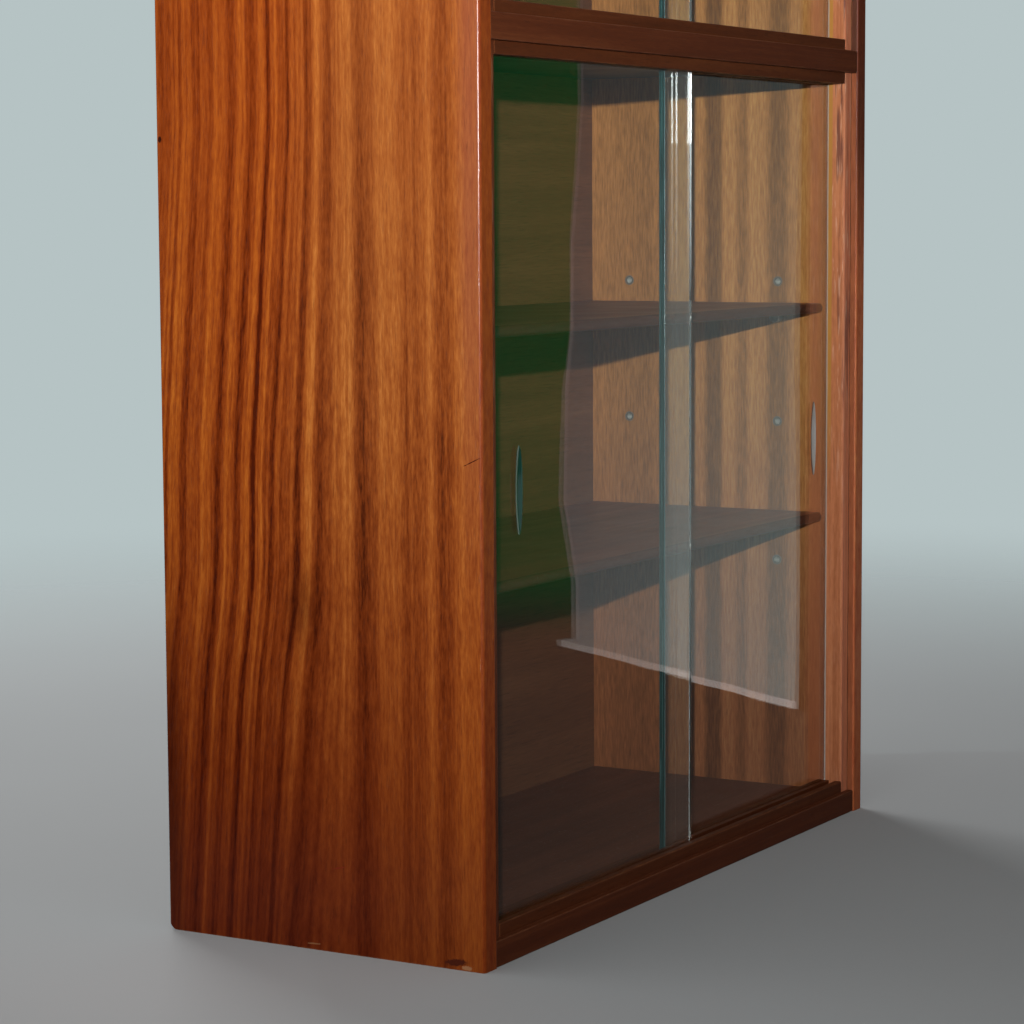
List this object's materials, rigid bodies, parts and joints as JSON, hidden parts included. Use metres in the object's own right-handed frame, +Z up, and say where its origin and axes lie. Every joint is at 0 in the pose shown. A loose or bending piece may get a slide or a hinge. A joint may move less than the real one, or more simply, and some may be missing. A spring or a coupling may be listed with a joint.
{
  "type": "glazed bookcase",
  "caption": "Tall bookcase in ribbon-striped hardwood, with frameless glass doors that slide past each other in grooved strips and loose shelves on metal studs.",
  "frame": {"origin": "on the floor under the middle of the case", "axes": "+X to the right seen from the front, +Y from the front to the back, +Z up"},
  "size_m": [0.762, 0.315, 1.52],
  "materials": {
    "side_veneer": "polished ribbon-striped mahogany veneer",
    "board_veneer": "dark polished mahogany veneer",
    "lipping_wood": "polished solid mahogany",
    "strip_wood": "polished solid mahogany, worn on its arrises",
    "shelf_wood": "polished mahogany with a rounded front edge",
    "back_ply": "lacquered plywood, grain across",
    "dowel_wood": "bare beech",
    "glass": "clear plate glass with polished edges",
    "socket_metal": "dull grey alloy",
    "stud_metal": "dull plated steel",
    "screw_brass": "tarnished brass",
    "pin_steel": "plain drawn wire"
  },
  "bodies": {
    "case": {"bottom_board": "board_veneer", "bottom_board_dowels": "dowel_wood", "bottom_front_lipping": "lipping_wood", "divider_board": "board_veneer", "divider_board_dowels": "dowel_wood", "divider_front_lipping": "lipping_wood", "left_side_panel": "side_veneer", "lower_back_panel": "back_ply", "lower_back_screws": "screw_brass", "lower_bottom_track": "strip_wood", "lower_high_shelf_studs": "stud_metal", "lower_jamb_pins": "pin_steel", "lower_left_jamb": "strip_wood", "lower_left_sockets": "socket_metal", "lower_low_shelf_studs": "stud_metal", "lower_right_jamb": "strip_wood", "lower_right_sockets": "socket_metal", "lower_top_track": "strip_wood", "lower_track_pins": "pin_steel", "right_side_panel": "side_veneer", "top_board": "board_veneer", "top_board_dowels": "dowel_wood", "top_front_lipping": "lipping_wood", "upper_back_panel": "back_ply", "upper_back_screws": "screw_brass", "upper_bottom_track": "strip_wood", "upper_high_shelf_studs": "stud_metal", "upper_jamb_pins": "pin_steel", "upper_left_jamb": "strip_wood", "upper_left_sockets": "socket_metal", "upper_low_shelf_studs": "stud_metal", "upper_right_jamb": "strip_wood", "upper_right_sockets": "socket_metal", "upper_top_track": "strip_wood", "upper_track_pins": "pin_steel"},
    "lower_high_shelf": {"lower_high_shelf": "shelf_wood"},
    "lower_left_door": {"lower_left_door": "glass"},
    "lower_low_shelf": {"lower_low_shelf": "shelf_wood"},
    "lower_right_door": {"lower_right_door": "glass"},
    "upper_high_shelf": {"upper_high_shelf": "shelf_wood"},
    "upper_left_door": {"upper_left_door": "glass"},
    "upper_low_shelf": {"upper_low_shelf": "shelf_wood"},
    "upper_right_door": {"upper_right_door": "glass"}
  },
  "joints": [
    {"name": "lower_left_door_slide", "type": "slide", "parent": "case", "child": "lower_left_door", "axis": [1, 0, 0], "range_m": [0, 0.326]},
    {"name": "lower_right_door_slide", "type": "slide", "parent": "case", "child": "lower_right_door", "axis": [-1, 0, 0], "range_m": [0, 0.326]},
    {"name": "lower_low_shelf_lift", "type": "slide", "parent": "case", "child": "lower_low_shelf", "axis": [0, 0, 1], "range_m": [0, 0.1065]},
    {"name": "lower_high_shelf_lift", "type": "slide", "parent": "case", "child": "lower_high_shelf", "axis": [0, 0, 1], "range_m": [0, 0.0365]},
    {"name": "upper_left_door_slide", "type": "slide", "parent": "case", "child": "upper_left_door", "axis": [1, 0, 0], "range_m": [0, 0.326]},
    {"name": "upper_right_door_slide", "type": "slide", "parent": "case", "child": "upper_right_door", "axis": [-1, 0, 0], "range_m": [0, 0.326]},
    {"name": "upper_low_shelf_lift", "type": "slide", "parent": "case", "child": "upper_low_shelf", "axis": [0, 0, 1], "range_m": [0, 0.1065]},
    {"name": "upper_high_shelf_lift", "type": "slide", "parent": "case", "child": "upper_high_shelf", "axis": [0, 0, 1], "range_m": [0, 0.0365]}
  ]
}
